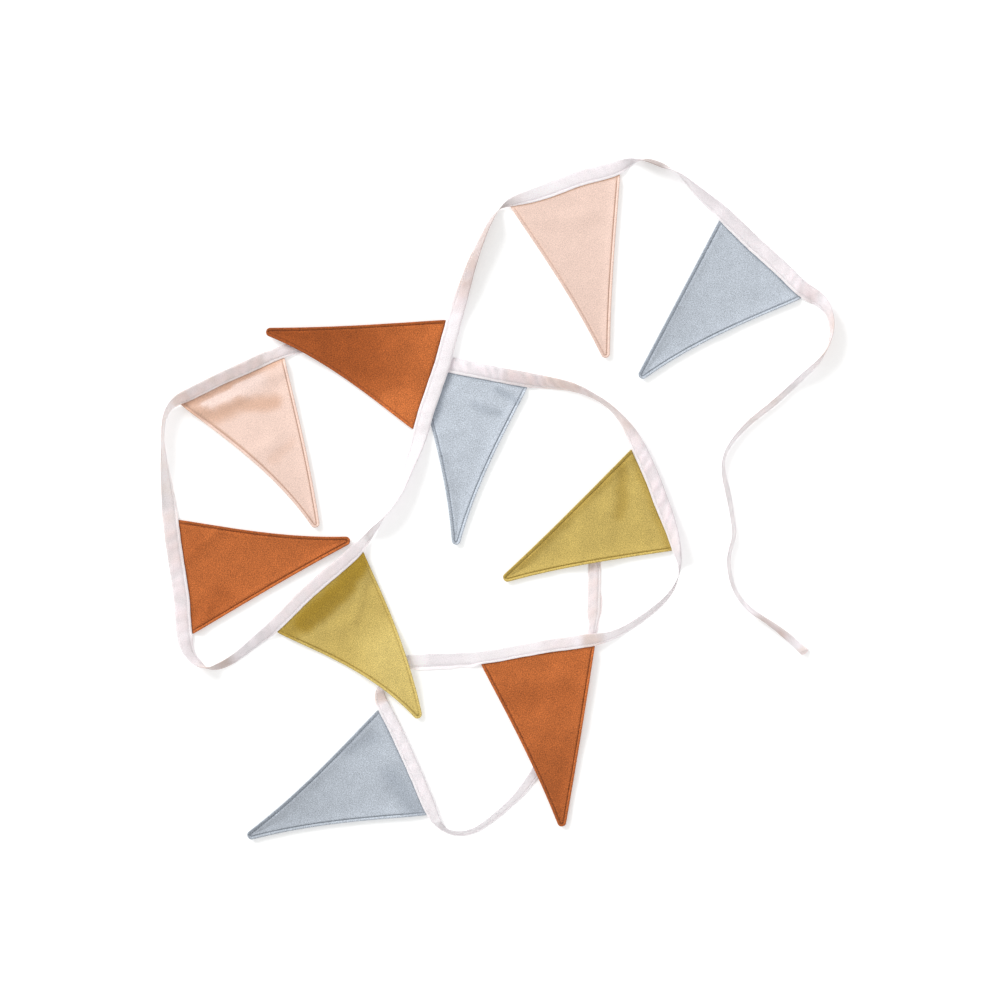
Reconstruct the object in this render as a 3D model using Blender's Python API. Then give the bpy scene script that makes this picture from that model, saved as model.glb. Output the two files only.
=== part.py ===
"""A fabric bunting lying on the floor in loose curves, as it was dropped there.

Ten cotton pennants hang from one binding tape. The tape is folded lengthwise over their top edges, and
runs on past the first and the last pennant as two free tails. Along the tape each pennant sits in a slot
between the tape's two layers. Between pennants the tape turns on edge, flips over and lies down again.

Lengths in the tables are millimetres, x to the right and y up as seen from above. The floor is z = 0.
"""

import math

import bmesh
import bpy
import numpy as np

MM = 0.001

# The tape, finished width and cloth thickness
TAPE_WIDTH = 15.0
TAPE_LAYER = 0.5
TAPE_CLOSED = 1.4
SLOT_DEPTH = 10.0
SLOT_GAP = 0.4

# The pennants
PENNANT_THICK = 1.2
PENNANT_TUCK = 8.0
PENNANT_INSET = 0.6
TIP_RADIUS = 4.0

# How the cloth bends
BEND_ROOM = 2.0
STRAIGHT_OUT = 1.5
RELAX = 22.0
EASE = 12.0

# How finely the solids are cut: the longest step along the tape, and the most that it may twist or turn
# in one step, in the slots and on its free stretches
SPLINE_STEP = 1.0
SLOT_STEP = (14.0, 0.13)
FREE_STEP = (12.0, 0.3)
SHEET_ROWS = 10

# The middle of the bunting's box, which becomes the origin
MIDDLE = (-0.1, -0.6)

# The tape's route from one free end to the other. Columns: x, y, and the width that shows from above.
# The width is less than the tape's own where the tape tilts, and nothing where it stands on edge. It is
# negative where the folded edge lies on the right of the way along the tape.
ROUTE = (
    ("free tail", (
        (293.0, -148.0, 8.0), (275.0, -131.5, 7.0), (254.0, -116.0, 4.5), (237.5, -104.0, 5.0),
        (226.0, -88.5, 4.0), (220.0, -67.0, 4.0), (221.0, -50.0, 4.0), (224.5, -37.0, 4.5),
        (223.0, -18.5, 4.5), (219.5, 2.0, 5.5), (215.0, 22.0, 4.5), (215.0, 36.5, 3.0),
        (223.5, 54.0, 4.0), (243.0, 74.5, 5.5), (262.5, 90.0, 6.0), (289.5, 115.0, 6.0),
        (305.5, 130.5, 3.5), (312.5, 141.0, 0.0), (317.0, 156.0, -2.5), (315.0, 175.0, -6.5),
        (306.5, 187.0, -12.0))),
    ("pennant 1", ((294.5, 195.0, -15.0), (272.0, 215.5, -15.0), (246.0, 239.0, -15.0),
                   (215.5, 268.5, -13.5))),
    ("between 1 and 2", ((201.5, 281.0, -11.0), (187.0, 294.0, -7.5), (171.0, 308.5, 0.0),
                          (156.0, 316.0, 4.0), (137.0, 321.0, 1.0), (123.5, 318.0, -9.5))),
    ("pennant 2", ((112.5, 313.0, -14.0), (88.0, 306.5, -15.0), (59.0, 296.5, -15.0),
                   (31.0, 286.5, -13.0), (13.0, 280.5, -8.0))),
    ("between 2 and 3", ((2.5, 274.5, 0.0), (-4.0, 266.5, 3.0), (-9.5, 256.5, 4.0), (-15.5, 243.0, 5.5),
                    (-22.0, 227.5, 8.5), (-29.5, 205.5, 11.0), (-37.0, 182.0, 14.0))),
    ("pennant 3", ((-45.0, 153.5, 15.0), (-55.5, 117.0, 15.0), (-63.5, 94.0, 15.0), (-72.0, 66.0, 15.0))),
    ("between 3 and 4", ((-77.5, 47.5, 13.0), (-83.5, 31.5, 11.0), (-93.0, 7.5, 9.0), (-103.0, -11.0, 4.0),
                    (-107.0, -17.5, 0.0), (-115.0, -27.5, -5.0), (-124.0, -38.5, -8.5))),
    ("pennant 4", ((-134.0, -50.0, -12.5), (-156.5, -70.0, -13.0), (-182.5, -92.5, -13.0),
                   (-213.0, -122.5, -12.5))),
    ("between 4 and 5", ((-232.0, -138.5, -10.0), (-251.0, -153.0, -8.0), (-266.0, -160.5, -6.0),
                           (-276.0, -161.5, 0.0), (-283.5, -157.5, 6.0), (-292.5, -147.0, 10.0))),
    ("pennant 5", ((-297.5, -128.0, 15.0), (-300.0, -96.0, 15.0), (-305.0, -62.5, 15.0),
                   (-310.5, -20.0, 15.0))),
    ("between 5 and 6", ((-313.0, 3.0, 12.0), (-315.5, 24.5, 8.0), (-317.5, 52.0, 2.0),
                          (-317.0, 70.0, 2.5), (-313.0, 83.0, 4.5), (-306.0, 91.0, 8.0))),
    ("pennant 6", ((-297.0, 96.0, 11.0), (-267.0, 111.0, 11.0), (-236.0, 125.0, 11.5),
                   (-203.0, 139.0, 14.5))),
    ("between 6 and 7", ((-187.0, 143.5, 15.0), (-154.5, 147.0, 15.0), (-121.0, 144.0, 15.0))),
    ("pennant 7", ((-80.0, 133.5, 15.0), (-41.0, 125.5, 15.0), (-8.0, 119.0, 14.0), (26.0, 112.5, 14.0))),
    ("between 7 and 8", ((47.0, 109.5, 11.5), (72.5, 104.5, 7.5), (91.5, 96.5, 4.0), (108.5, 85.0, 4.0),
                          (120.0, 72.0, 7.0), (129.0, 58.0, 12.0))),
    ("pennant 8", ((135.5, 45.0, 14.0), (148.0, 17.0, 14.0), (158.0, -10.0, 14.0), (166.0, -32.0, 11.0),
                   (170.5, -50.0, 7.5))),
    ("between 8 and 9", ((172.8, -62.0, 3.5), (172.0, -74.0, 0.0), (167.0, -86.0, -3.0), (154.0, -101.5, -5.0),
                    (139.5, -113.0, -6.0), (119.0, -126.0, -7.0), (101.0, -133.0, -10.0))),
    ("pennant 9", ((86.0, -135.5, -12.5), (57.0, -139.5, -12.5), (21.0, -145.5, -12.5),
                   (-14.0, -151.5, -12.5))),
    ("between 9 and 10", ((-48.0, -154.0, -12.5), (-80.0, -155.5, -13.5), (-96.0, -159.5, -11.0),
                           (-107.0, -169.5, -4.0), (-111.5, -182.0, 8.0), (-110.0, -193.5, 12.0))),
    ("pennant 10", ((-106.0, -202.0, 12.5), (-92.5, -229.0, 12.5), (-79.0, -259.0, 12.5),
                    (-65.0, -292.0, 12.5))),
    ("tail under pennant 8", (
        (-58.0, -306.5, 8.5), (-49.5, -315.5, 4.0), (-36.0, -319.0, 4.5), (-21.0, -315.5, 5.5),
        (-2.0, -302.5, 6.5), (18.0, -284.5, 7.5), (34.0, -264.0, 14.0), (46.5, -244.0, 15.0),
        (64.0, -209.5, 15.0), (80.0, -167.5, 15.0), (88.5, -135.0, 15.0), (91.0, -113.0, 15.0),
        (92.0, -86.0, 15.0), (92.0, -55.0, 15.0), (89.0, -30.0, 15.0))),
)

# Where the tape is raised over what lies under it. Columns: stretch of the route, x, y, height of its
# underside, and how far along the tape that height holds.
TAPE_OVER = (
    ("pennant 3", -48.5, 130.0, 3.5, 16.0),
    ("pennant 3", -60.0, 100.0, 2.4, 30.0),
    ("pennant 9", 87.5, -135.5, 2.6, 14.0),
)

# Where the tape is gathered narrow by what lies on it. Columns: stretch of the route, x, y, share of its
# width left, how far along the tape that holds, and over how far it eases.
TAPE_NARROW = (
    ("pennant 6", -203.0, 139.0, 0.82, 6.0, 24.0),
    ("between 9 and 10", -105.0, -167.5, 0.4, 19.0, 18.0),
    ("tail under pennant 8", 33.0, -265.0, 0.72, 3.0, 22.0),
    ("tail under pennant 8", 88.5, -134.0, 0.5, 10.0, 24.0),
    ("tail under pennant 8", 92.0, -86.0, 0.82, 24.0, 24.0),
)

# The pennants in order along the tape. Columns: colour, top corner where the tape reaches it, top corner
# where the tape leaves it, tip, and how far its first and its second long edge bow outwards.
PENNANTS = (
    ("blue", (289.5, 189.5), (210.0, 263.0), (135.5, 114.0), -5.0, 0.0),
    ("blush", (116.0, 307.5), (11.0, 278.5), (103.5, 133.0), -1.5, -3.0),
    ("rust", (-48.5, 169.0), (-80.0, 65.0), (-219.5, 158.0), -1.5, -6.0),
    ("mustard", (-127.5, -51.0), (-210.0, -127.0), (-74.0, -209.0), 5.0, -8.5),
    ("rust", (-288.5, -129.5), (-301.5, -20.5), (-140.0, -40.0), -1.0, -4.0),
    ("blush", (-300.5, 87.0), (-202.5, 134.5), (-171.5, -28.0), -7.5, 2.0),
    ("blue", (-78.5, 124.5), (29.0, 105.5), (-39.5, -44.5), -4.5, -4.5),
    ("mustard", (127.5, 46.5), (166.0, -51.0), (6.0, -77.5), -1.0, -2.5),
    ("rust", (92.5, -139.0), (-16.0, -158.0), (61.5, -312.0), 0.5, -2.5),
    ("blue", (-113.0, -201.0), (-69.5, -302.5), (-237.0, -322.0), -3.5, -4.0),
)

# Ridges in the pennants: soft folds, and where one passes over the tape or another pennant. Columns:
# number of the pennant, the ridge's two ends, its height, half the width of its flat top, and its fall.
RIDGES = (
    (3, (-210.0, 141.0), (-180.0, 146.0), 6.2, 10.0, 22.0),
    (3, (-180.0, 146.0), (-110.0, 142.0), 2.4, 9.0, 20.0),
    (3, (-90.0, 136.0), (-45.0, 127.0), 3.6, 9.0, 20.0),
    (3, (-72.0, 112.0), (-60.0, 80.0), 2.2, 8.0, 16.0),
    (4, (-70.0, -155.5), (-96.0, -159.5), 5.4, 8.0, 18.0),
    (4, (-96.0, -159.5), (-110.0, -190.0), 8.4, 8.0, 20.0),
    (6, (-287.0, 88.0), (-204.0, 125.0), 3.0, 2.0, 14.0),
    (8, (91.0, -92.0), (88.0, -24.0), 2.4, 9.0, 18.0),
    (9, (26.0, -275.0), (42.0, -251.0), 5.6, 9.0, 18.0),
    (9, (42.0, -251.0), (64.0, -209.5), 3.4, 9.0, 20.0),
    (9, (64.0, -209.5), (86.0, -142.0), 2.6, 9.0, 20.0),
)

# Colours as the photograph shows them, in linear light, with their roughness
COLOURS = {
    "tape": ((0.87, 0.83, 0.87), 0.85),
    "blush": ((0.85, 0.64, 0.53), 0.9),
    "blue": ((0.51, 0.58, 0.64), 0.9),
    "rust": ((0.48, 0.14, 0.05), 0.9),
    "mustard": ((0.57, 0.44, 0.11), 0.9),
}


def smooth_step(t):
    """0 below 0, 1 above 1, and level at both ends."""
    t = np.clip(t, 0.0, 1.0)
    return t * t * (3.0 - 2.0 * t)


def natural_spline(knots, values, at):
    """The natural cubic spline through the values at the knots, read at the given places."""
    count = len(knots)
    gap = np.diff(knots)
    slope = np.diff(values) / gap
    system = np.eye(count)
    right = np.zeros(count)
    for i in range(1, count - 1):
        system[i, i - 1:i + 2] = gap[i - 1], 2.0 * (gap[i - 1] + gap[i]), gap[i]
        right[i] = 6.0 * (slope[i] - slope[i - 1])
    bend = np.linalg.solve(system, right)
    i = np.clip(np.searchsorted(knots, at) - 1, 0, count - 2)
    before = at - knots[i]
    after = knots[i + 1] - at
    straight = (values[i] * after + values[i + 1] * before) / gap[i]
    curved = bend[i] * (after ** 3 / gap[i] - after * gap[i]) + bend[i + 1] * (before ** 3 / gap[i] - before * gap[i])
    return straight + curved / 6.0


def eased(values):
    """The values along the tape with their corners rounded off."""
    reach = int(EASE / SPLINE_STEP)
    weights = np.hanning(reach + 2)[1:-1]
    padded = np.pad(values, reach // 2, mode="edge")
    return np.convolve(padded, weights / weights.sum(), mode="same")[reach // 2:reach // 2 + len(values)]


class Tape:
    """The tape's middle line, and how the tape stands and lies at each length along it."""

    def __init__(self):
        rows = np.array([row for _, stretch in ROUTE for row in stretch])
        rows[:, :2] -= MIDDLE
        chord = np.hypot(*np.diff(rows[:, :2], axis=0).T)
        knots = np.concatenate(([0.0], np.cumsum(chord)))
        fine = np.arange(0.0, knots[-1], SPLINE_STEP)
        self.fine = fine
        self.xy = np.stack([natural_spline(knots, rows[:, k], fine) for k in (0, 1)], axis=1)
        self.along = np.concatenate(([0.0], np.cumsum(np.hypot(*np.diff(self.xy, axis=0).T))))
        self.length = self.along[-1]
        self.roll = eased(np.interp(fine, knots, np.arccos(rows[:, 2] / TAPE_WIDTH)))
        heading = np.gradient(self.xy, axis=0)
        self.heading = heading / np.linalg.norm(heading, axis=1)[:, None]
        self.bounds = {}
        row = 0
        for name, stretch in ROUTE:
            self.bounds[name] = (knots[max(0, row - 1)], knots[min(len(knots) - 1, row + len(stretch))])
            row += len(stretch)
        self.slots = [(self.foot(f"pennant {i + 1}", row[1]), self.foot(f"pennant {i + 1}", row[2]))
                      for i, row in enumerate(PENNANTS)]
        in_slot = np.zeros(len(fine))
        for start, end in self.slots:
            in_slot = np.maximum(in_slot, smooth_step(1.0 - (start - self.along) / EASE)
                                 * smooth_step(1.0 - (self.along - end) / EASE))
        self.in_slot = in_slot
        self.lift = np.zeros(len(fine))
        for name, x, y, height, hold in TAPE_OVER:
            past = np.abs(self.along - self.foot(name, (x, y))) - hold
            self.lift = np.maximum(self.lift, height * smooth_step(1.0 - past / (2.0 * EASE)))
        self.share = np.ones(len(fine))
        for name, x, y, left, hold, ease in TAPE_NARROW:
            past = np.abs(self.along - self.foot(name, (x, y))) - hold
            self.share = np.minimum(self.share, 1.0 - (1.0 - left) * smooth_step(1.0 - past / ease))

    def foot(self, name, point):
        """The length along the tape at which a stretch of it passes nearest to a point."""
        away = ((self.xy - (np.array(point) - MIDDLE)) ** 2).sum(axis=1)
        start, end = self.bounds[name]
        outside = (self.fine < start) | (self.fine > end)
        return self.along[np.argmin(np.where(outside, np.inf, away))]

    def cuts(self, start, end, step):
        """Lengths from start to end, close together where the tape twists or turns fast."""
        longest, most_turn = step
        turning = (np.abs(np.gradient(self.roll, self.along))
                   + np.abs(np.gradient(np.unwrap(np.arctan2(*self.heading.T)), self.along)))
        need = np.maximum(1.0 / longest, turning / most_turn)
        total = np.concatenate(([0.0], np.cumsum(need[1:] * np.diff(self.along))))
        first, last = np.interp((start, end), self.along, total)
        count = max(2, math.ceil(last - first))
        return np.interp(np.linspace(first, last, count + 1), total, self.along)

    def at(self, length):
        """The section at a length: its middle, its way across to the folded edge, its face and its sizes."""
        def read(values):
            return np.interp(length, self.along, values)
        ahead = np.array([read(self.heading[:, 0]), read(self.heading[:, 1]), 0.0])
        ahead /= np.linalg.norm(ahead)
        left = np.array([-ahead[1], ahead[0], 0.0])
        roll, in_slot = read(self.roll), read(self.in_slot)
        across = left * math.cos(roll) + np.array([0.0, 0.0, math.sin(roll)])
        face = np.cross(ahead, across)
        half_width = TAPE_WIDTH / 2.0 * read(self.share)
        slot_thick = PENNANT_THICK + 2.0 * (SLOT_GAP + TAPE_LAYER)
        half_thick = (TAPE_CLOSED + (slot_thick - TAPE_CLOSED) * in_slot) / 2.0
        height = (read(self.lift) + half_width * math.sin(roll) + half_thick * abs(math.cos(roll))
                  + in_slot * BEND_ROOM * math.sin(roll))
        middle = np.array([read(self.xy[:, 0]), read(self.xy[:, 1]), height])
        return middle, across, face, half_width, half_thick


def stations(tape):
    """The lengths at which the tape's section is cut, each with whether the slot is open just past it."""
    cuts = []
    place = 0.0
    for start, end in tape.slots:
        cuts += [(length, False) for length in tape.cuts(place, start, FREE_STEP)[:-1]]
        cuts += [(length, True) for length in tape.cuts(start, end, SLOT_STEP)[:-1]]
        place = end
    return cuts + [(length, False) for length in tape.cuts(place, tape.length, FREE_STEP)]


def add_ring(mesh, tape, length, open_slot):
    """The corners of one section, each with its place across the tape. One with the slot has six more."""
    middle, across, face, half_width, half_thick = tape.at(length)
    corners = [(half_width, half_thick), (half_width, -half_thick), (-half_width, -half_thick),
               (-half_width, half_thick)]
    if open_slot:
        slot = PENNANT_THICK / 2.0 + SLOT_GAP
        deep = SLOT_DEPTH - half_width
        corners[2:2] = [(deep, -half_thick)]
        corners[4:4] = [(-half_width, -slot), (deep, -slot), (deep, slot), (-half_width, slot)]
        corners.append((deep, half_thick))
    return [(mesh.verts.new((middle + across * w + face * n) * MM), w) for w, n in corners]


def join_like(mesh, ring, following):
    """The side faces between two sections with the same corners.

    Each is cut in two from its open side to its folded side, so that the thin layers stay side by side
    where the tape twists.
    """
    for i, (corner, across) in enumerate(ring):
        after = (i + 1) % len(ring)
        next_corner, next_across = ring[after]
        ahead, next_ahead = following[i][0], following[after][0]
        if across < next_across:
            mesh.faces.new((corner, next_corner, next_ahead))
            mesh.faces.new((corner, next_ahead, ahead))
        else:
            mesh.faces.new((corner, next_corner, ahead))
            mesh.faces.new((next_corner, next_ahead, ahead))


def join_slot_end(mesh, closed, opened):
    """The faces between a closed section and one with the slot, and the wall that ends the slot."""
    outer_top, outer_low, inner_low, inner_top = (corner for corner, _ in closed)
    over, under, mid_low, low, lip_low, deep_low, deep_top, lip_top, top, mid_top = (
        corner for corner, _ in opened)
    mesh.faces.new((outer_top, outer_low, under, over))
    for inner, outer, edge, middle, fold in ((inner_low, outer_low, low, mid_low, under),
                                             (inner_top, outer_top, top, mid_top, over)):
        mesh.faces.new((inner, edge, middle))
        mesh.faces.new((inner, middle, fold))
        mesh.faces.new((inner, fold, outer))
    mesh.faces.new((inner_low, lip_low, low))
    mesh.faces.new((inner_low, inner_top, lip_top, lip_low))
    mesh.faces.new((inner_top, top, lip_top))
    mesh.faces.new((lip_low, lip_top, deep_top, deep_low))


def finish_mesh(mesh, name, colour):
    """Turns the faces outwards, shades them smooth and makes the object."""
    bmesh.ops.recalc_face_normals(mesh, faces=mesh.faces)
    data = bpy.data.meshes.new(name)
    mesh.to_mesh(data)
    mesh.free()
    data.shade_smooth()
    data.set_sharp_from_angle(angle=math.radians(50.0))
    data.materials.append(cloth(colour))
    obj = bpy.data.objects.new(name, data)
    bpy.context.scene.collection.objects.link(obj)
    return obj


def cloth(colour):
    """The plain material of one colour of cloth, made once."""
    name = "cotton_" + colour
    if name in bpy.data.materials:
        return bpy.data.materials[name]
    material = bpy.data.materials.new(name)
    material.use_nodes = True
    shader = material.node_tree.nodes["Principled BSDF"]
    base, roughness = COLOURS[colour]
    shader.inputs["Base Color"].default_value = (*base, 1.0)
    shader.inputs["Roughness"].default_value = roughness
    shader.inputs["Metallic"].default_value = 0.0
    return material


def make_tape(tape):
    """The tape as one closed strip, with a slot at each pennant."""
    mesh = bmesh.new()
    ring, was_open = None, False
    cuts = stations(tape)
    for i, (length, open_after) in enumerate(cuts):
        following = add_ring(mesh, tape, length, was_open or open_after)
        if ring is None or i == len(cuts) - 1:
            mesh.faces.new([corner for corner, _ in following])
        if ring is not None:
            if len(ring) == len(following):
                join_like(mesh, ring, following)
            elif len(following) > len(ring):
                join_slot_end(mesh, ring, following)
            else:
                join_slot_end(mesh, following, ring)
        ring, was_open = following, open_after
    return finish_mesh(mesh, "tape", "tape")


def ridge_height(number, x, y):
    """How high the ridges raise a pennant off the floor at a point."""
    total = 0.0
    for owner, first, last, height, core, fall in RIDGES:
        if owner != number:
            continue
        first = np.array(first) - MIDDLE
        last = np.array(last) - MIDDLE
        way = last - first
        share = np.clip(np.dot((x, y) - first, way) / np.dot(way, way), 0.0, 1.0)
        away = np.linalg.norm((x, y) - first - share * way)
        total += (height * float(smooth_step(1.0 - (away - core) / fall))) ** 4
    return total ** 0.25


def edge_bow(share, turn, first_bow, last_bow):
    """How far the bows of the two long edges move a point sideways, most of it past the half way."""
    past = share ** 1.25
    return 4.0 * past * (1.0 - past) * (last_bow * turn - first_bow * (1.0 - turn))


def tip_point(tip, inwards, sideways, turn):
    """A point of the rounded tip, at a share of the way round it from the first edge to the second."""
    centre = tip + inwards * TIP_RADIUS
    angle = math.pi * (turn - 0.5) * 0.8
    return centre - TIP_RADIUS * (inwards * math.cos(angle) - sideways * math.sin(angle))


def pennant_surface(tape, number):
    """The pennant's middle surface: rows from inside the tape's slot to the tip, columns along its top."""
    _, first, last, tip, first_bow, last_bow = PENNANTS[number - 1]
    lengths = tape.cuts(*tape.slots[number - 1], SLOT_STEP)
    lengths[0] += PENNANT_INSET
    lengths[-1] -= PENNANT_INSET
    tip = np.array(tip) - MIDDLE
    columns = []
    corners = []
    for length in lengths:
        middle, across, _, half_width, _ = tape.at(length)
        mouth = middle - across * half_width
        columns.append([mouth + across * PENNANT_TUCK, mouth + across * PENNANT_TUCK / 2.0, mouth,
                        mouth - across * STRAIGHT_OUT])
        corners.append(columns[-1][-1][:2])
    crown = (corners[0] + corners[-1]) / 2.0
    axis = (tip - crown) / np.linalg.norm(tip - crown)
    sideways = np.array([-axis[1], axis[0]])
    sideways *= np.sign(np.dot(corners[-1] - corners[0], sideways))
    near_tip = crown + (tip - crown) * 0.85 + sideways * edge_bow(0.85, 0.5, first_bow, last_bow)
    inwards = (near_tip - tip) / np.linalg.norm(near_tip - tip)
    tip_side = np.array([-inwards[1], inwards[0]])
    tip_side *= np.sign(np.dot(tip_side, sideways))
    for column, length in zip(columns, lengths):
        turn = (length - lengths[0]) / (lengths[-1] - lengths[0])
        top = column[-1]
        goal = tip_point(tip, inwards, tip_side, turn)
        reach = np.linalg.norm(goal - top[:2])
        for row in range(1, SHEET_ROWS + 1):
            share = (row / SHEET_ROWS) ** 0.9
            bow = edge_bow(share, turn, first_bow, last_bow)
            x, y = top[:2] + (goal - top[:2]) * share + sideways * bow
            height = PENNANT_THICK / 2.0 + ridge_height(number, x, y)
            hold = 1.0 - float(smooth_step(share * reach / RELAX))
            column.append(np.array([x, y, height + hold * max(0.0, top[2] - height)]))
    return np.array(columns)


def make_pennant(tape, number):
    """The pennant as a thick sheet on its middle surface."""
    grid = pennant_surface(tape, number)
    slant = np.cross(np.gradient(grid, axis=0), np.gradient(grid, axis=1))
    slant /= np.linalg.norm(slant, axis=2)[:, :, None]
    slant *= np.sign(slant[:, :, 2:3])
    mesh = bmesh.new()
    sides = []
    for sign in (1.0, -1.0):
        points = (grid + sign * PENNANT_THICK / 2.0 * slant) * MM
        sides.append([[mesh.verts.new(point) for point in column] for column in points])
    last_column, last_row = grid.shape[0] - 1, grid.shape[1] - 1
    for side in sides:
        for i in range(last_column):
            for j in range(last_row):
                mesh.faces.new((side[i][j], side[i + 1][j], side[i][j + 1]))
                mesh.faces.new((side[i + 1][j], side[i + 1][j + 1], side[i][j + 1]))
    top, low = sides
    for i in range(last_column):
        for j in (0, last_row):
            mesh.faces.new((top[i][j], top[i + 1][j], low[i + 1][j], low[i][j]))
    for j in range(last_row):
        for i in (0, last_column):
            mesh.faces.new((top[i][j], top[i][j + 1], low[i][j + 1], low[i][j]))
    return finish_mesh(mesh, f"pennant_{number:02d}", PENNANTS[number - 1][0])


def main():
    for obj in list(bpy.data.objects):
        bpy.data.objects.remove(obj)
    tape = Tape()
    make_tape(tape)
    for number in range(1, len(PENNANTS) + 1):
        make_pennant(tape, number)


main()
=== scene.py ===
import math

import bpy
import numpy as np
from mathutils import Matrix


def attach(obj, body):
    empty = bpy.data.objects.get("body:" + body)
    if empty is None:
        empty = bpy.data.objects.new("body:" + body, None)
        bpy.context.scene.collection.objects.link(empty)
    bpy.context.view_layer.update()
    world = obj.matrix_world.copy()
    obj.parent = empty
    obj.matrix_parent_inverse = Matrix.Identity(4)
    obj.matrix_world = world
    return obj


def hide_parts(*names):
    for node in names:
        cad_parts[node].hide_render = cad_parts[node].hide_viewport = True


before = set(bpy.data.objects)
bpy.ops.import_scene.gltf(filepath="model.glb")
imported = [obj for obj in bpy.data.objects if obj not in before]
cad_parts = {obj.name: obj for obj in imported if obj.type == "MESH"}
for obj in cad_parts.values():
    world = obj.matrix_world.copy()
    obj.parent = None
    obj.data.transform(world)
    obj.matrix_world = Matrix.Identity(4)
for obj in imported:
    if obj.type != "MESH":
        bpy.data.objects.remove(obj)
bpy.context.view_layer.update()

# Lengths in the tables are millimetres, x to the right and y up as seen from above. The floor is z = 0.
MM = 0.001

# The topstitching: its distance from the edge, and a stitch's pitch, and its length, width and height
STITCH_DEPTH = 2.8
STITCH_PITCH = 2.6
STITCH_SIZE = (2.0, 0.42, 0.3)

# The tape: finished width, one side of the folded strip, the gap between its sides, and the most length and
# the most turn in radians from one section of its mesh to the next
TAPE_WIDTH = 15.0
TAPE_PLY = 0.46
TAPE_GAP = 0.06
TAPE_STEP = (2.4, 0.12)

# One side of the tape's section. Columns: distance from the open edge, and the outer face's height over
# the inner face as a share of the side's thickness.
TAPE_SECTION = ((0.0, 0.5), (0.3, 0.95), (1.3, 1.12), (2.3, 1.0), (STITCH_DEPTH, 0.5), (3.3, 1.02),
                (5.0, 1.28), (7.5, 1.32), (10.0, 1.25), (12.5, 1.12), (14.2, 0.92))

# The cut end of the first tail: its reach, its slant, how far its lower side falls short, and their spread
END_REACH = 16.0
END_SLANT = 0.28
END_SHORT = 2.0
END_SPREAD = 1.3

# The tape's stitch line of painted shade in its groove, by its width, and the rim outside it with how
# strong the painted highlight on that rim is
TAPE_SEAM_WIDTH = 0.45
TAPE_RIM = 2.4
TAPE_RIM_PAINTED_HIGHLIGHT = 2.2

# The pennants: thickness, how far they go into the tape, how far they stay clear of their slot's ends, the
# room across the slot, and the rounding of their tips
PENNANT_THICK = 1.0
PENNANT_TUCK = 8.0
PENNANT_INSET = 0.6
SLOT_ROOM = 0.1
TIP_RADIUS = 4.0

# A pennant's sewn edge: its rolled seam, the groove of the stitches, the puff inside it, the lift and the
# curl of the rim, and the rounding of the very edge. The reaches and widths are distances inwards.
ROLL_HEIGHT = 0.45
GROOVE_DEPTH = 0.5
GROOVE_WIDTH = 0.5
BORDER_PUFF = 0.9
PUFF_REACH = 6.5
EDGE_LIFT = 0.8
LIFT_REACH = 8.0
EDGE_CURL = 2.0
CURL_REACH = 3.4
EDGE_ROUND = 0.5

# A pennant's mesh: the step from row to row, the columns between the sewn edges and those along them, the
# rows inside the tape as distances in from its open edge, and half the thickness of those rows' ends
ROW_STEP = 2.2
INNER_COLUMNS = 24
EDGE_OFFSETS = (0.0, 0.25, 0.7, 1.2, 1.8, 2.35, STITCH_DEPTH, 3.25, 3.9)
TUCK_ROWS = (PENNANT_TUCK, PENNANT_TUCK / 2.0, 0.0, -0.8)
TUCKED_END = 0.12

# A depth inside a pennant at which nothing of its seams shows
WELL_INSIDE = 9.0

# The painted shade of a pennant's stitched groove by its width, and the painted shade where the pennant comes
# out of the tape, over its last two rows inside and its first outside
SEAM_WIDTH = 0.6
CONTACT_SHADE = (1.0, 0.9, 0.2)

# Painted highlights along a seam, the first on edges that face the light and the second on the others.
# Columns: distance from the edge, width and strength.
PAINTED_SEAM_HIGHLIGHTS = ((3.9, 0.6, 0.17), (1.3, 0.7, 0.12))

# How strong the painted shade is on the rims that face the light
RIM_PAINTED_SHADE = {"blush": 0.5, "blue": 0.5, "rust": 0.9, "mustard": 0.5}

# How the cloth bends: the room that a pennant's bend takes under a standing tape, how far it goes on
# straight out of the tape, over what length it comes down, longer for some by their numbers, over what
# length the tape eases from one state to the next, and the step of its spline
BEND_ROOM = 2.0
STRAIGHT_OUT = 1.5
RELAX = 22.0
RELAX_LONGER = {4: 30.0}
EASE = 12.0
SPLINE_STEP = 1.0

# The least height of the cloth over the floor
FLOOR_GAP = 0.02

# The middle of the bunting's box, which is the origin
MIDDLE = (-0.1, -0.6)

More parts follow.
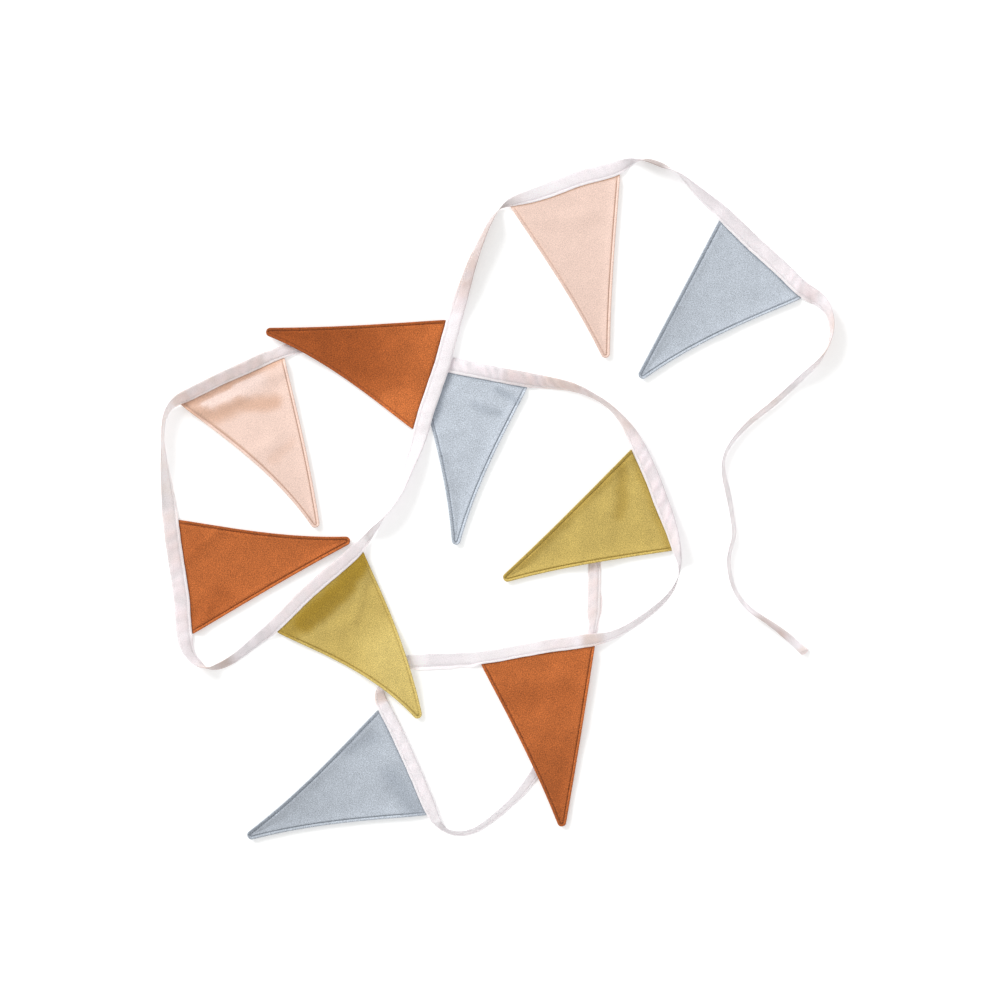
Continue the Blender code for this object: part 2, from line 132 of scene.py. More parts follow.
# The tape's route from one free end to the other. Columns: x, y, and the width that shows from above.
# The width is less than the tape's own where the tape tilts, and nothing where it stands on edge. It is
# negative where the folded edge lies on the right of the way along the tape. Each stretch is named by the
# pennant that it holds, or by the two that it lies between.
ROUTE = (
    ("first tail", (
        (293, -148, 8), (275, -131.5, 7), (254, -116, 4.5), (237.5, -104, 5), (226, -88.5, 4),
        (220, -67, 4), (221, -50, 4), (224.5, -37, 4.5), (223, -18.5, 4.5), (219.5, 2, 5.5),
        (215, 22, 4.5), (215, 36.5, 3), (223.5, 54, 4), (243, 74.5, 5.5), (262.5, 90, 6), (289.5, 115, 6),
        (305.5, 130.5, 3.5), (312.5, 141, 0), (317, 156, -2.5), (315, 175, -6.5), (306.5, 187, -12))),
    ("pennant 1", ((294.5, 195, -15), (272, 215.5, -15), (246, 239, -15), (215.5, 268.5, -13.5))),
    ("1 to 2", (
        (201.5, 281, -11), (187, 294, -7.5), (171, 308.5, 0), (156, 315.5, 5), (140, 320.5, 3),
        (123.5, 318, -9.5))),
    ("pennant 2", (
        (112.5, 313, -14), (88, 306.5, -15), (59, 296.5, -15), (31, 286.5, -13), (13, 280.5, -8))),
    ("2 to 3", (
        (2.5, 274.5, 0), (-4, 266.5, 3), (-9.5, 256.5, 4), (-15.5, 243, 5.5), (-22, 227.5, 8.5),
        (-29.5, 205.5, 11), (-37, 182, 14))),
    ("pennant 3", ((-45, 153.5, 15), (-55.5, 117, 15), (-63.5, 94, 15), (-72, 66, 15))),
    ("3 to 4", (
        (-77.5, 47.5, 13), (-83.5, 31.5, 11), (-93, 7.5, 9), (-103, -11, 4), (-107, -17.5, 0),
        (-115, -27.5, -5), (-124, -38.5, -8.5))),
    ("pennant 4", ((-134, -50, -12.5), (-156.5, -70, -13), (-182.5, -92.5, -13), (-213, -122.5, -12.5))),
    ("4 to 5", (
        (-232, -138.5, -10), (-251, -153, -8), (-266, -160.5, -6), (-276, -161.5, 0), (-283.5, -157.5, 6),
        (-292.5, -147, 10))),
    ("pennant 5", ((-297.5, -128, 15), (-300, -96, 15), (-305, -62.5, 15), (-310.5, -20, 15))),
    ("5 to 6", (
        (-313, 3, 12), (-315.5, 24.5, 8), (-317.5, 52, 2), (-317, 70, 2.5), (-313, 83, 4.5),
        (-306, 91, 8))),
    ("pennant 6", ((-297, 96, 11), (-267, 111, 11), (-236, 125, 11.5), (-203, 139, 14.5))),
    ("6 to 7", ((-187, 143.5, 15), (-154.5, 147, 15), (-121, 144, 15))),
    ("pennant 7", ((-80, 133.5, 15), (-41, 125.5, 15), (-8, 119, 14), (26, 112.5, 14))),
    ("7 to 8", (
        (47, 109.5, 11.5), (72.5, 104.5, 7.5), (91.5, 96.5, 4), (108.5, 85, 4), (120, 72, 7),
        (129, 58, 12))),
    ("pennant 8", ((135.5, 45, 14), (148, 17, 14), (158, -10, 14), (166, -32, 11), (170.5, -50, 7.5))),
    ("8 to 9", (
        (172.8, -62, 3.5), (172, -74, 0), (167, -86, -3), (154, -101.5, -5), (139.5, -113, -6),
        (119, -126, -7), (101, -133, -10))),
    ("pennant 9", ((86, -135.5, -12.5), (57, -139.5, -12.5), (21, -145.5, -12.5), (-14, -151.5, -12.5))),
    ("9 to 10", (
        (-48, -154, -12.5), (-80, -155.5, -13.5), (-96, -159.5, -11), (-107, -169.5, -4),
        (-111.5, -182, 8), (-110, -193.5, 12))),
    ("pennant 10", ((-106, -202, 12.5), (-92.5, -229, 12.5), (-79, -259, 12.5), (-65, -292, 12.5))),
    ("last tail", (
        (-58, -306.5, 8.5), (-49.5, -315.5, 4), (-36, -319, 4.5), (-21, -315.5, 5.5), (-2, -302.5, 6.5),
        (18, -284.5, 7.5), (34, -264, 14), (46.5, -244, 15), (64, -209.5, 15), (80, -167.5, 15),
        (88.5, -135, 15), (91, -113, 15), (92, -86, 15), (92, -55, 15), (89, -30, 15))),
)

# Where the tape is raised over what lies under it. Columns: stretch of the route, x, y, height of its
# underside, and how far along the tape that height holds.
TAPE_OVER = (
    ("pennant 3", -48.5, 130, 3.5, 16),
    ("pennant 3", -60, 100, 2.4, 30),
    ("pennant 9", 87.5, -135.5, 2.6, 14),
)

# Where the tape is gathered narrow by what lies on it. Columns: stretch of the route, x, y, share of its
# width left, how far along the tape that holds, and over how far it eases.
TAPE_NARROW = (
    ("pennant 6", -203, 139, 0.82, 6, 24),
    ("9 to 10", -105, -167.5, 0.25, 7, 12),
    ("last tail", 33, -265, 0.72, 3, 22),
    ("last tail", 88.5, -134, 0.5, 10, 24),
    ("last tail", 92, -86, 0.82, 24, 24),
)

# Where the tape lies flatter than its tilt, crowned in its width instead. Columns: stretch of the route,
# x, y, share of its tilt left, how far along the tape that holds, over how far it eases, and its lift.
TAPE_CROWNED = (
    ("pennant 4", -168, -80, 0, 52, 26, 5.4),
    ("pennant 6", -190, 142, 0.3, 25, 25, 0),
    ("pennant 9", 12, -147, 0, 100, 22, 0),
    ("8 to 9", 140, -112, 0.03, 54, 26, 0),
    ("pennant 2", 62, 298, 0.2, 62, 20, 0),
    ("9 to 10", -62, -154.5, 0.1, 34, 16, 0),
    ("pennant 10", -85, -245, 0.15, 62, 18, 0),
    ("last tail", -4, -304, 0, 50, 22, 0),
    ("4 to 5", -245, -149, 0.45, 22, 18, 0),
    ("first tail", 222, -30, 0.55, 160, 30, 0),
)

# Wrinkles across the tape. Columns: stretch of the route, x, y, how far along the tape they reach each
# way, their pitch, how far each slants along the tape from one edge to the other, and their height.
TAPE_WRINKLES = (
    ("pennant 8", 152, 5, 54, 14, 13, 1.3),
    ("pennant 5", -303, -75, 60, 15, 3, 0.75),
    ("pennant 6", -255, 117, 55, 13, -8, 1),
    ("pennant 7", 0, 118, 42, 12, 10, 1.1),
    ("7 to 8", 60, 107, 36, 11, 12, 1.3),
    ("pennant 1", 290, 200, 26, 11, -9, 0.8),
    ("pennant 2", 100, 311, 30, 13, -9, 0.4),
    ("4 to 5", -245, -149, 50, 13, 9, 0.6),
    ("pennant 9", 60, -139.5, 45, 16, 12, 0.5),
    ("pennant 10", -85, -245, 60, 18, 10, 0.45),
    ("pennant 3", -60, 100, 50, 19, 11, 0.4),
    ("2 to 3", -25, 215, 60, 19, 12, 0.5),
    ("pennant 4", -160, -73, 55, 15, 9, 0.45),
    ("last tail", 84, -115, 50, 12, 5, 0.5),
    ("first tail", 222, -40, 200, 21, 12, 0.7),
)

# Folds that run lengthwise on the tape. Columns: stretch of the route, x, y, how far along the tape it
# reaches each way, its distance from the open edge at the start and the end of that reach, and height.
TAPE_CREASES = (
    ("last tail", 91.5, -95, 45, 9, 8, 0.5),
    ("7 to 8", 121, 70, 22, 13, 5, 0.6),
    ("9 to 10", -108, -176, 12, 12, 4, 0.7),
)

# Where the under layer's open edge shows past the upper one. Columns: stretch of the route, x, y, how
# far along the tape it shows each way, and how far out it lies.
UNDER_EDGE = (
    ("9 to 10", -50, -154.5, 34, 2.8),
    ("last tail", 84, -110, 22, 1.6),
)

# The pennants in order along the tape. Columns: colour, top corner where the tape reaches it, top corner
# where the tape leaves it, tip, and how far its first and its second long edge bow outwards.
PENNANTS = (
    ("blue", (289.5, 189.5), (210, 263), (135.5, 114), -5, 0),
    ("blush", (116, 307.5), (11, 278.5), (103.5, 133), -1.5, -3),
    ("rust", (-48.5, 169), (-80, 65), (-219.5, 158), -1.5, -6),
    ("mustard", (-127.5, -51), (-210, -127), (-74, -209), 5, -8.5),
    ("rust", (-288.5, -129.5), (-301.5, -20.5), (-140, -40), -1, -4),
    ("blush", (-300.5, 87), (-202.5, 134.5), (-171.5, -28), -7.5, 2),
    ("blue", (-78.5, 124.5), (29, 105.5), (-39.5, -44.5), -4.5, -4.5),
    ("mustard", (127.5, 46.5), (166, -51), (6, -77.5), -1, -2.5),
    ("rust", (92.5, -139), (-16, -158), (61.5, -312), 0.5, -2.5),
    ("blue", (-113, -201), (-69.5, -302.5), (-237, -322), -3.5, -4),
)

# Ridges where a pennant passes over the tape or another pennant. Columns: number of the pennant, the
# ridge's two ends, its height, half the width of its flat top, and its fall.
RIDGES = (
    (3, (-210, 141), (-180, 146), 3.2, 10, 26),
    (3, (-180, 146), (-110, 142), 2.2, 9, 22),
    (3, (-90, 136), (-45, 127), 3.6, 9, 20),
    (3, (-72, 112), (-60, 80), 2.2, 8, 16),
    (4, (-70, -155.5), (-96, -159.5), 4.3, 9, 34),
    (4, (-96, -159.5), (-110, -190), 4.6, 8, 40),
    (6, (-287, 88), (-204, 125), 2, 2, 18),
    (8, (91, -92), (88, -24), 2.4, 9, 22),
    (9, (26, -275), (42, -251), 4, 9, 32),
    (9, (42, -251), (64, -209.5), 3.4, 9, 24),
    (9, (64, -209.5), (86, -142), 2.6, 9, 24),
)

# Soft folds that show as light and shade. Columns: number of the pennant, the fold's crest as a line of
# points, its height, and its half width.
FOLDS = (
    (2, ((40, 262), (95, 272)), 0.9, 9),
    (3, ((-105, 155), (-70, 120)), 1, 8),
    (4, ((-127, -58), (-126, -74), (-131, -100), (-136, -116)), 1.6, 4.5),
    (4, ((-150, -122), (-172, -130), (-196, -134)), 1.2, 8),
    (5, ((-293.4, -58.1), (-283.2, -46.2), (-264.5, -31)), 1.9, 4.5),
    (5, ((-285.4, -123.7), (-274, -102.8)), 1.6, 5),
    (6, ((-288, 84), (-262, 88), (-240, 97)), 1.5, 7),
    (6, ((-230, 110), (-206, 119)), 0.9, 5),
    (6, ((-235, 41), (-214, 52)), 1.1, 7),
    (7, ((0.6, 107.2), (16.7, 101.5)), 1.2, 3.5),
    (7, ((-26, 92.9), (-0.4, 83.4)), 1.3, 5),
    (7, ((-48, 62), (-30, 66)), 0.8, 6),
    (8, ((111, 34), (109, -12)), 1.9, 8),
    (8, ((134, 10), (139, -40)), 0.9, 7),
    (8, ((124.1, 43.5), (129.8, 37.8)), 1.3, 2.5),
    (8, ((124, 44), (66, -14), (16, -66)), 1.2, 8),
    (8, ((146, -11), (157, -16)), 1.2, 3),
    (8, ((128, 43), (131, 34), (123, 31)), 1.1, 3),
    (8, ((84, -10), (80, -48)), 1.2, 8),
    (9, ((4, -180.6), (61, -174.9)), 2, 12),
    (9, ((21.5, -213), (50, -207)), 1.2, 10),
    (10, ((-138, -228), (-118, -211)), 1, 7),
    (10, ((-120, -254), (-93, -289)), 1.4, 9),
)

# Painted light and shade that change a pennant's tone from its top to its tip. Columns: number of the
# pennant, and the share of its colour at each, lighter above one and darker below.
PAINTED_SHADE_TOP_TO_TIP = (
    (1, 0.99, 0.91), (2, 0.98, 0.93), (3, 1.05, 0.97), (4, 0.97, 1.03), (5, 0.99, 0.96), (6, 1.03, 0.95),
    (7, 1.05, 0.99), (8, 0.98, 0.98), (9, 0.98, 0.92), (10, 0.94, 0.76),
)

# Painted shade that deepens a pennant's colour, or painted light that pales it where the strength is
# negative. Columns: number of the pennant, a line of points, how far to each side of it the colour holds,
# over how far it fades, and its strength.
PAINTED_SHADE_AND_LIGHT = (
    (3, ((-225, 158), (-190, 151), (-150, 143)), 6, 95, 0.78),
    (3, ((-82, 68), (-104, 90)), 4, 34, -0.32),
    (4, ((-128, -52), (-134, -66), (-146, -84), (-163, -101), (-184, -118)), 6, 9, 0.85),
    (4, ((-131, -53), (-207, -124)), 10, 14, 0.6),
    (4, ((-98, -150), (-76, -206)), 8, 46, -0.45),
    (5, ((-292, -118), (-262, -96)), 3, 16, 0.3),
    (5, ((-299, -60), (-284, -42)), 2, 8, 0.2),
    (6, ((-294, 82), (-268, 78), (-245, 88), (-212, 91)), 2, 10, 0.66),
    (6, ((-299, 86), (-206, 131)), 1, 4.5, 0.75),
    (6, ((-278, 93), (-232, 112)), 3, 16, -0.36),
    (6, ((-214, 36), (-196, 52)), 1, 7, 0.2),
    (7, ((-46.5, 118), (-63, 64)), 1.5, 3.5, 0.7),
    (7, ((-20, 88), (2, 80)), 1, 6, 0.3),
    (7, ((0, 101), (21, 92)), 0.5, 4.5, 0.45),
    (8, ((122, 38), (66, -18), (22, -62)), 1, 9, 0.38),
    (8, ((117, 30), (119, 2), (116, -16)), 1.5, 8, 0.4),
    (8, ((129, 42), (164, -48)), 1, 6, 0.35),
    (9, ((61, -310), (48, -262)), 8, 60, 0.3),
    (9, ((12, -190), (62, -190)), 3, 24, 0.2),
    (10, ((-100, -265), (-77, -296)), 1, 17, 0.45),
    (10, ((-144, -236), (-118, -227)), 1, 12, 0.3),
)

# How clearly the seams of a pennant's first and second long edge show, where they are less than clear
SEAM_SHOWS = ((2, 1, 0.35), (3, 1, 0.35), (4, 0.3, 1))

# Where a pennant's edges lie pressed down under something else. Columns: number of the pennant, a line of
# points, and how far to each side of it.
PRESSED = (
    (7, ((-80, 126), (-62, 62)), 14),
)

# Painted shade and light on the tape's cloth. Columns: stretch of the route, x, y, how far along the tape
# it reaches each way, how far its colour turns to that of painted shade, and how much painted light or shade
# makes its tone lighter or darker.
TAPE_PAINTED_SHADE_AND_LIGHT = (
    ("first tail", 291, -145.5, 4, 0.6, 0),
    ("first tail", 262, -121, 19, 0.8, -0.35),
    ("first tail", 221, -20, 74, 0.2, 0.15),
    ("first tail", 252, 82, 30, 0.5, 0.05),
    ("first tail", 313, 150, 26, 0.75, -0.2),
    ("pennant 1", 296, 193.5, 9, 0.3, -0.18),
    ("1 to 2", 150, 318.5, 13, 0.95, -0.55),
    ("pennant 2", 36, 288, 34, 0, 0.13),
    ("2 to 3", -18, 238, 54, 0.85, -0.38),
    ("pennant 3", -60, 105, 70, 0, 0.08),
    ("3 to 4", -90, 15, 40, 0, -0.08),
    ("3 to 4", -124, -39, 8, 0.3, 0.22),
    ("pennant 4", -168, -80, 62, 0.3, -0.1),
    ("4 to 5", -265, -160, 16, 1, -0.28),
    ("pennant 5", -303, -75, 60, 0.25, -0.08),
    ("pennant 5", -308.5, -35, 30, 0.5, -0.06),
    ("5 to 6", -317, 40, 56, 0.6, 0.19),
    ("pennant 6", -301, 94, 10, 0.95, -0.1),
    ("pennant 6", -255, 117, 60, 0.6, -0.02),
    ("pennant 7", 22, 113, 16, 0.5, -0.12),
    ("7 to 8", 62, 107, 22, 1, -0.08),
    ("7 to 8", 108, 85, 36, 0.7, -0.17),
    ("pennant 8", 156, -8, 56, 0.1, -0.12),
    ("8 to 9", 167, -86, 8, 0, 0.15),
    ("8 to 9", 144, -109, 56, 0.15, 0.12),
    ("pennant 9", 90, -135, 11, 0.9, -0.22),
    ("pennant 9", 57, -139.5, 16, 0.3, -0.12),
    ("pennant 9", 30, -144, 60, 0.1, 0.1),
    ("9 to 10", -76, -155, 9, 0, 0.25),
    ("9 to 10", -111, -188, 7, 0.95, -0.25),
    ("last tail", -16, -311, 44, 0, 0.16),
    ("last tail", 91.5, -95, 30, 0.5, -0.02),
    ("last tail", 93, -66, 6, 0.8, 0),
)

# How far the unevenness of a pennant's canvas rises, and about how far apart its rises are
UNEVEN = 0.45
UNEVEN_WAVE = 36.0

# Colours in linear light: the cloth's own colour, its thread's, and the colour of its painted shade
COLOURS = {
    "tape": ((0.895, 0.81, 0.855), (0.86, 0.81, 0.84), (0.82, 0.67, 0.63)),
    "blush": ((0.775, 0.585, 0.507), (0.64, 0.43, 0.35), (0.60, 0.355, 0.235)),
    "blue": ((0.455, 0.505, 0.567), (0.38, 0.43, 0.50), (0.26, 0.30, 0.355)),
    "rust": ((0.452, 0.124, 0.029), (0.24, 0.062, 0.016), (0.28, 0.062, 0.009)),
    "mustard": ((0.51, 0.382, 0.108), (0.43, 0.315, 0.075), (0.355, 0.225, 0.02)),
}
# The tone change of the painted shade lines and the tape rim's painted highlight, and how strongly the
# cloth's grain shows
SEAM_SHADE = {"tape": -0.08, "blush": -0.16, "blue": -0.16, "rust": -0.35, "mustard": -0.2}
GRAIN_SHOWS = {"tape": 0.13, "blush": 0.23, "blue": 0.42, "rust": 0.6, "mustard": 0.42}

# The two suns. Columns: name, strength, and its spread, elevation and azimuth in degrees.
LIGHTS = (("key", 2.3, 28.0, 30.0, 135.0), ("fill", 0.5, 60.0, 15.0, -45.0))

# The photograph: how many metres of floor it shows across, its pixels, and the pixel at x = y = 0
VIEW_WIDTH = 0.95
PICTURE_SIZE = 1000.0
ZERO_PIXEL = (497.4, 497.8)
CAMERA_HEIGHT = 6.0


def smooth_step(t):
    """0 below 0, 1 above 1, and level at both ends."""
    t = np.clip(t, 0.0, 1.0)
    return t * t * (3.0 - 2.0 * t)


def natural_spline(knots, values, at):
    """The natural cubic spline through the values at the knots, read at the given places."""
    count = len(knots)
    gap = np.diff(knots)
    slope = np.diff(values) / gap
    system = np.eye(count)
    right = np.zeros(count)
    for i in range(1, count - 1):
        system[i, i - 1:i + 2] = gap[i - 1], 2.0 * (gap[i - 1] + gap[i]), gap[i]
        right[i] = 6.0 * (slope[i] - slope[i - 1])
    bend = np.linalg.solve(system, right)
    i = np.clip(np.searchsorted(knots, at) - 1, 0, count - 2)
    before = at - knots[i]
    after = knots[i + 1] - at
    straight = (values[i] * after + values[i + 1] * before) / gap[i]
    curved = (bend[i] * (after ** 3 / gap[i] - after * gap[i])
              + bend[i + 1] * (before ** 3 / gap[i] - before * gap[i]))
    return straight + curved / 6.0


def eased(values):
    """The values along the tape with their corners rounded off."""
    reach = int(EASE / SPLINE_STEP)
    weights = np.hanning(reach + 2)[1:-1]
    padded = np.pad(values, reach // 2, mode="edge")
    return np.convolve(padded, weights / weights.sum(), mode="same")[reach // 2:reach // 2 + len(values)]


def unevenness(u, v, wave, seed):
    """Soft unevenness between about -1 and 1 over a surface, with features about wave apart."""
    dice = np.random.default_rng(seed)
    total = np.zeros(np.broadcast(u, v).shape)
    for _ in range(9):
        angle, phase = dice.uniform(0.0, 2.0 * math.pi, 2)
        pace = 2.0 * math.pi / (wave * dice.uniform(0.7, 1.9))
        total = total + np.sin((u * math.cos(angle) + v * math.sin(angle)) * pace + phase)
    return total / 4.0


def unit(vectors):
    """The vectors at length one."""
    return vectors / np.linalg.norm(vectors, axis=-1, keepdims=True)


class Tape:
    """The tape's middle line, and how the tape stands and lies at each length along it."""

    def __init__(self):
        rows = np.array([row for _, stretch in ROUTE for row in stretch])
        rows[:, :2] -= MIDDLE
        chord = np.hypot(*np.diff(rows[:, :2], axis=0).T)
        knots = np.concatenate(([0.0], np.cumsum(chord)))
        self.fine = np.arange(0.0, knots[-1], SPLINE_STEP)
        self.xy = np.stack([natural_spline(knots, rows[:, k], self.fine) for k in (0, 1)], axis=1)
        self.along = np.concatenate(([0.0], np.cumsum(np.hypot(*np.diff(self.xy, axis=0).T))))
        self.length = self.along[-1]
        self.roll = eased(np.interp(self.fine, knots, np.arccos(rows[:, 2] / TAPE_WIDTH)))
        self.heading = unit(np.gradient(self.xy, axis=0))
        self.bounds = {}
        row = 0
        for name, stretch in ROUTE:
            self.bounds[name] = (knots[max(0, row - 1)], knots[min(len(knots) - 1, row + len(stretch))])
            row += len(stretch)
        self.slots = [(self.foot(f"pennant {i + 1}", row[1]), self.foot(f"pennant {i + 1}", row[2]))
                      for i, row in enumerate(PENNANTS)]
        self.in_slot = np.zeros(len(self.fine))
        for start, end in self.slots:
            self.in_slot = np.maximum(self.in_slot, smooth_step(1.0 - (start - self.along) / EASE)
                                      * smooth_step(1.0 - (self.along - end) / EASE))
        self.lift = np.zeros(len(self.fine))
        for name, x, y, height, hold in TAPE_OVER:
            past = self.past(name, x, y, hold)
            self.lift = np.maximum(self.lift, height * smooth_step(1.0 - past / (2.0 * EASE)))
        self.share = np.ones(len(self.fine))
        for name, x, y, left, hold, ease in TAPE_NARROW:
            past = self.past(name, x, y, hold)
            self.share = np.minimum(self.share, 1.0 - (1.0 - left) * smooth_step(1.0 - past / ease))
        self.tilt = np.ones(len(self.fine))
        for name, x, y, left, hold, ease, lift in TAPE_CROWNED:
            past = self.past(name, x, y, hold)
            self.tilt = np.minimum(self.tilt, 1.0 - (1.0 - left) * smooth_step(1.0 - past / ease))
            raised = smooth_step(1.0 - (past + hold / 2.0) / (ease + hold / 2.0))
            self.lift = np.maximum(self.lift, lift * raised)

    def foot(self, name, point):
        """The length along the tape at which a stretch of it passes nearest to a point."""
        away = ((self.xy - (np.array(point) - MIDDLE)) ** 2).sum(axis=1)
        start, end = self.bounds[name]
        outside = (self.fine < start) | (self.fine > end)
        return self.along[np.argmin(np.where(outside, np.inf, away))]

    def past(self, name, x, y, hold):
        """How far each length along the tape lies outside of a stay to each side of a table's place."""
        return np.abs(self.along - self.foot(name, (x, y))) - hold

    def cuts(self, step):
        """Lengths along the whole tape, close together where it twists or turns fast."""
        longest, most_turn = step
        turning = (np.abs(np.gradient(self.roll, self.along))
                   + np.abs(np.gradient(np.unwrap(np.arctan2(*self.heading.T)), self.along)))
        need = np.maximum(1.0 / longest, turning / most_turn)
        total = np.concatenate(([0.0], np.cumsum(need[1:] * np.diff(self.along))))
        return np.interp(np.linspace(0.0, total[-1], math.ceil(total[-1]) + 1), total, self.along)

    def section(self, length):
        """The sections at some lengths: middle, way across to the folded edge, face, half width and gap."""
        def read(values):
            return np.interp(length, self.along, values)
        zero = np.zeros(np.shape(length))
        ahead = unit(np.stack([read(self.heading[:, 0]), read(self.heading[:, 1]), zero], axis=-1))
        left = np.stack([-ahead[..., 1], ahead[..., 0], zero], axis=-1)
        roll, in_slot, tilt = read(self.roll), read(self.in_slot), read(self.tilt)
        up = np.array([0.0, 0.0, 1.0])
        across = left * np.cos(roll)[..., None] + up * (np.sin(roll) * tilt)[..., None]
        face = np.cross(ahead, across)
        half_width = TAPE_WIDTH / 2.0 * read(self.share)
        gap = TAPE_GAP + (PENNANT_THICK + SLOT_ROOM - TAPE_GAP) * in_slot
        height = (read(self.lift) + half_width * np.sin(roll) * tilt
                  + (gap / 2.0 + TAPE_PLY) * np.abs(np.cos(roll))
                  + in_slot * BEND_ROOM * np.sin(roll))
        middle = np.stack([read(self.xy[:, 0]), read(self.xy[:, 1]), height], axis=-1)
        return middle, across, face, half_width, gap


def make_object(name, points, faces, material, uv=None, marks=None):
    """A closed mesh from points in millimetres, with its faces turned outwards and shaded smooth."""
    points = np.asarray(points, float).reshape(-1, 3)
    corners = points[faces]
    normals = np.cross(corners[:, 0] - corners[:, 2], corners[:, 1] - corners[:, 3])
    if (normals * corners.mean(axis=1)).sum() < 0.0:
        faces = faces[:, ::-1]
    data = bpy.data.meshes.new(name)
    data.from_pydata((points * MM).tolist(), [], [tuple(dict.fromkeys(face)) for face in faces.tolist()])
    data.validate()
    data.shade_smooth()
    if uv is not None:
        layer = data.uv_layers.new(name="cloth")
        order = np.empty(len(data.loops), dtype=np.int64)
        data.loops.foreach_get("vertex_index", order)
        layer.data.foreach_set("uv", np.asarray(uv).reshape(-1, 2)[order].ravel())
    for mark, values in (marks or {}).items():
        store = data.attributes.new(mark, "FLOAT", "POINT")
        store.data.foreach_set("value", np.asarray(values, float).ravel())
    data.materials.append(material)
    obj = bpy.data.objects.new(name, data)
    bpy.context.scene.collection.objects.link(obj)
    return obj


def grid_faces(rows, columns, first=0, around=False):
    """The four-sided faces of a grid of points numbered row by row."""
    i, j = np.meshgrid(np.arange(rows - 1), np.arange(columns if around else columns - 1), indexing="ij")
    after = (j + 1) % columns
    near, far = i * columns, (i + 1) * columns
    quads = np.stack([near + j, near + after, far + after, far + j], -1)
    return quads.reshape(-1, 4) + first


def tape_relief(tape, length, depth, side):
    """How far wrinkles and creases raise the tape's outer face."""
    relief = 0.1 * unevenness(length, depth * 1.6, 17.0, int(11 + side))
    relief = relief + 0.05 * unevenness(length, depth, 6.0, int(21 + side))
    for name, x, y, reach, pitch, slant, height in TAPE_WRINKLES:
        away = length - tape.foot(name, (x, y))
        phase = (away + slant * depth / TAPE_WIDTH) / pitch
        wobble = 0.35 * unevenness(length, depth, 23.0, 31)
        wave = (0.5 + 0.5 * np.cos(2.0 * math.pi * (phase + wobble))) ** 2
        relief = relief + height * wave * smooth_step(1.4 - np.abs(away) / reach)
    for name, x, y, reach, first, last, height in TAPE_CREASES:
        away = (length - tape.foot(name, (x, y))) / reach
        at = first + (last - first) * (away + 1.0) / 2.0
        relief = relief + height * np.exp(-((depth - at) / 0.9) ** 2) * smooth_step(2.5 - 2.0 * np.abs(away))
    return relief * smooth_step((depth - 1.0) / 4.5) * smooth_step((TAPE_WIDTH - depth) / 3.0)


def under_edge(tape, length):
    """How far the under layer's open edge lies out past the upper one."""
    out = np.zeros(np.shape(length))
    for name, x, y, reach, most in UNDER_EDGE:
        away = np.abs(length - tape.foot(name, (x, y)))
        wavy = 1.0 + 0.25 * unevenness(length, 0.0, 21.0, 41)
        out = np.maximum(out, most * wavy * smooth_step((reach - away) / 9.0))
    return out


def tape_point(tape, length, depth, side, outer):
    """Points on the tape at some lengths and distances from its open edge. side is 1, -1 or 0 at the fold."""
    fade = np.clip(1.0 - length / END_REACH, 0.0, 1.0)
    length = length + fade * (END_SLANT * depth - END_SHORT * (side < 0))
    middle, across, face, half_width, gap = tape.section(length)
    narrow = half_width * 2.0 / TAPE_WIDTH
    share = np.interp(depth, *np.array(TAPE_SECTION).T)
    out = under_edge(tape, length) * (side < 0) * np.clip(1.0 - depth / 5.0, 0.0, 1.0)
    wander = 0.16 * unevenness(length, 0.0, 31.0, 51) + 0.1 * unevenness(length, 0.0, 9.0, 52)
    reach = np.where((side == 0) & ~outer, depth - TAPE_PLY, depth)
    w = reach * narrow - half_width - out + wander
    level = gap / 2.0 + fade ** 2 * END_SPREAD * (1.0 - depth / TAPE_WIDTH)
    thick = TAPE_PLY * share + tape_relief(tape, length, depth, side)
    closing = np.clip((TAPE_WIDTH - depth) / 1.6, 0.0, 1.0) ** 0.5
    n = side * (level * closing + np.where(outer, thick, 0.0))
    return middle + across * w[..., None] + face * n[..., None], face


